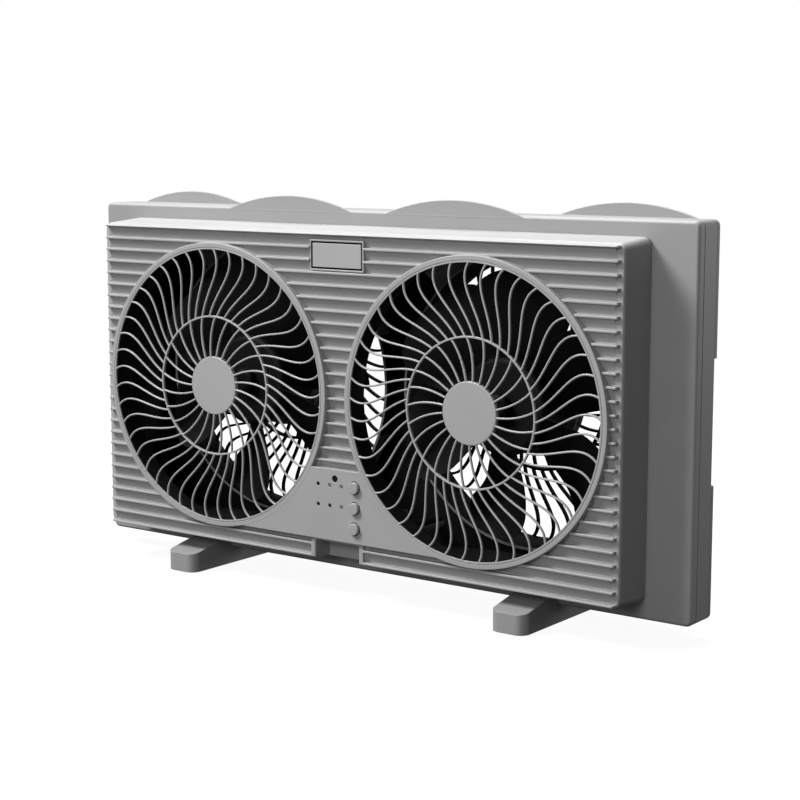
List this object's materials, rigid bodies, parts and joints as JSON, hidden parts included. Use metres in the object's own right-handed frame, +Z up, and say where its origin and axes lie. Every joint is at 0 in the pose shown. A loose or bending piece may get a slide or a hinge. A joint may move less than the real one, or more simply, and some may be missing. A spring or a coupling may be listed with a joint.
{
  "type": "window fan",
  "caption": "Wide twin window fan with a ribbed front, two round spoke grilles, sliding side extenders, arc-shaped sash tabs and two bar feet.",
  "frame": {"origin": "on the floor, under the middle of the two feet", "axes": "+X along the width, to the right as seen from the room side, +Y towards the outdoor side, +Z up"},
  "size_m": [0.621, 0.12, 0.3381],
  "materials": {
    "cover_abs": "grey moulded ABS, fine satin texture",
    "frame_abs": "grey moulded ABS, fine satin texture",
    "grille_abs": "light grey moulded ABS",
    "badge_abs": "light grey moulded ABS, plain",
    "button_abs": "light grey moulded ABS",
    "rear_grille_abs": "dark grey moulded ABS",
    "fan_pp": "black moulded polypropylene, satin",
    "window_pc": "smoked polycarbonate light pipe",
    "switch_pbt": "black PBT",
    "board_fr4": "glass-epoxy board under green solder mask",
    "screw_steel": "zinc-plated steel",
    "shaft_steel": "ground steel",
    "bell_steel": "pressed steel",
    "stator_steel": "varnished steel laminations",
    "core_steel": "turned lamination stack",
    "winding_copper": "enamelled copper wire",
    "bush_bronze": "sintered bronze",
    "bellows_vinyl": "folded vinyl sheet",
    "gland_rubber": "black rubber"
  },
  "bodies": {
    "root": {"front_cover": "cover_abs", "badge_plate": "badge_abs", "front_grille_left": "grille_abs", "front_grille_right": "grille_abs", "indicator_windows": "window_pc", "receiver_window": "window_pc", "control_board": "board_fr4", "tact_switches": "switch_pbt", "board_screws": "screw_steel", "front_frame": "frame_abs", "rear_housing": "frame_abs", "rear_grille_left": "rear_grille_abs", "rear_grille_right": "rear_grille_abs", "bellows_left": "bellows_vinyl", "bellows_right": "bellows_vinyl", "motor_screws": "screw_steel", "foot_left": "frame_abs", "foot_right": "frame_abs", "foot_screws": "screw_steel", "housing_screws": "screw_steel", "frame_screws": "screw_steel", "cord_gland": "gland_rubber", "motor_front_bell_left": "bell_steel", "stator_left": "stator_steel", "windings_left": "winding_copper", "motor_rear_bell_left": "bell_steel", "front_bush_left": "bush_bronze", "rear_bush_left": "bush_bronze", "motor_front_bell_right": "bell_steel", "stator_right": "stator_steel", "windings_right": "winding_copper", "motor_rear_bell_right": "bell_steel", "front_bush_right": "bush_bronze", "rear_bush_right": "bush_bronze"},
    "rotor_left": {"fan_left": "fan_pp", "shaft_left": "shaft_steel", "rotor_core_left": "core_steel", "hub_cap_left": "fan_pp"},
    "rotor_right": {"fan_right": "fan_pp", "shaft_right": "shaft_steel", "rotor_core_right": "core_steel", "hub_cap_right": "fan_pp"},
    "power_button": {"button_power": "button_abs", "plunger_power": "switch_pbt"},
    "speed_button": {"button_speed": "button_abs", "plunger_speed": "switch_pbt"},
    "airflow_button": {"button_airflow": "button_abs", "plunger_airflow": "switch_pbt"},
    "extension_left": {"extender_left": "frame_abs"},
    "extension_right": {"extender_right": "frame_abs"}
  },
  "joints": [
    {"name": "fan_left_spin", "type": "hinge", "parent": "root", "child": "rotor_left", "pos_m": [-0.13575, 0, 0.172], "axis": [0, 1, 0], "continuous": true},
    {"name": "fan_right_spin", "type": "hinge", "parent": "root", "child": "rotor_right", "pos_m": [0.13575, 0, 0.172], "axis": [0, 1, 0], "continuous": true},
    {"name": "button_power_press", "type": "slide", "parent": "root", "child": "power_button", "axis": [0, 1, 0], "range_m": [0, 0.0012], "stiffness_N_per_m": 500, "springref_m": -0.0006},
    {"name": "button_speed_press", "type": "slide", "parent": "root", "child": "speed_button", "axis": [0, 1, 0], "range_m": [0, 0.0012], "stiffness_N_per_m": 500, "springref_m": -0.0006},
    {"name": "button_airflow_press", "type": "slide", "parent": "root", "child": "airflow_button", "axis": [0, 1, 0], "range_m": [0, 0.0012], "stiffness_N_per_m": 500, "springref_m": -0.0006},
    {"name": "extender_left_slide", "type": "slide", "parent": "root", "child": "extension_left", "axis": [-1, 0, 0], "range_m": [0, 0.165], "deforming": ["bellows_left"]},
    {"name": "extender_right_slide", "type": "slide", "parent": "root", "child": "extension_right", "axis": [1, 0, 0], "range_m": [0, 0.165], "deforming": ["bellows_right"]}
  ]
}
